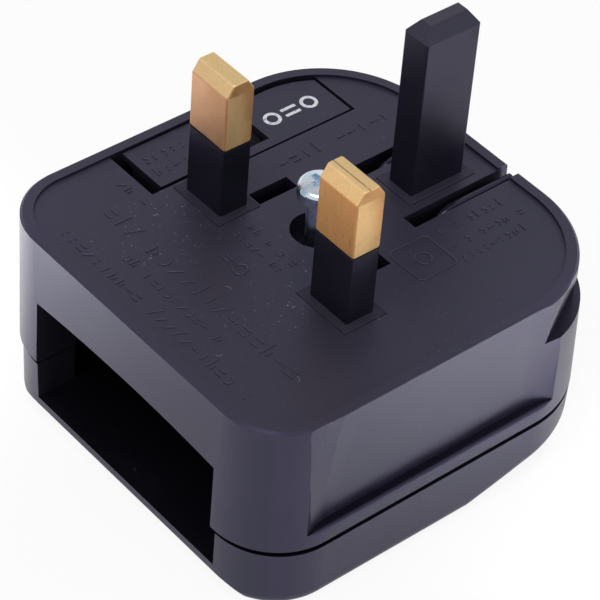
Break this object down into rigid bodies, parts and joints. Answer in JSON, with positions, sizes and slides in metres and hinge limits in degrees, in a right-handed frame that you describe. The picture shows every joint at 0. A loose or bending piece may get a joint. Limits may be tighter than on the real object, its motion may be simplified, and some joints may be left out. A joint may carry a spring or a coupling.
{
  "type": "travel adapter",
  "caption": "Clam-shell travel adapter: a boxy plug body with flat pins on its face, a hinged back cover, a captive locking screw, a lift-out fuse carrier and an open mouth for a plug.",
  "frame": {"origin": "middle of the part's footprint, at the bottom of the back cover", "axes": "+Z along the pins, +Y towards the earth pin, +X towards the neutral pin"},
  "size_m": [0.051, 0.0536, 0.0504],
  "materials": {
    "body_plastic": "fine satin grain, dusty",
    "sleeve_plastic": "satin black",
    "brass": "drawn, lightly scratched",
    "spring_brass": "rolled",
    "zinc_screw": "bright zinc",
    "plated_metal": "bright plated",
    "fuse_ceramic": "matt"
  },
  "bodies": {
    "base": {"base_moulding": "body_plastic", "inner_cover": "body_plastic", "line_pin": "brass", "neutral_pin": "brass", "line_sleeve": "sleeve_plastic", "neutral_sleeve": "sleeve_plastic", "earth_pin": "sleeve_plastic", "line_fuse_clip": "spring_brass", "load_fuse_clip": "spring_brass", "line_contact": "spring_brass", "neutral_contact": "spring_brass", "neutral_link": "spring_brass", "hinge_pin": "plated_metal", "inner_cover_screws": "plated_metal"},
    "cover": {"back_cover": "body_plastic", "threaded_insert": "spring_brass"},
    "screw": {"locking_screw": "zinc_screw", "screw_retainer": "plated_metal"},
    "fuse": {"fuse_carrier": "body_plastic", "fuse_tube": "fuse_ceramic", "fuse_caps": "plated_metal"}
  },
  "joints": [
    {"name": "cover_hinge", "type": "hinge", "parent": "base", "child": "cover", "pos_m": [0, 0.02425, 0.0228], "axis": [1, 0, 0], "range_deg": [0, 95]},
    {"name": "screw_travel", "type": "slide", "parent": "base", "child": "screw", "axis": [0, 0, 1], "range_m": [-0.0076, 0]},
    {"name": "fuse_lift", "type": "slide", "parent": "base", "child": "fuse", "axis": [0, 0, 1], "range_m": [0, 0.009]}
  ]
}
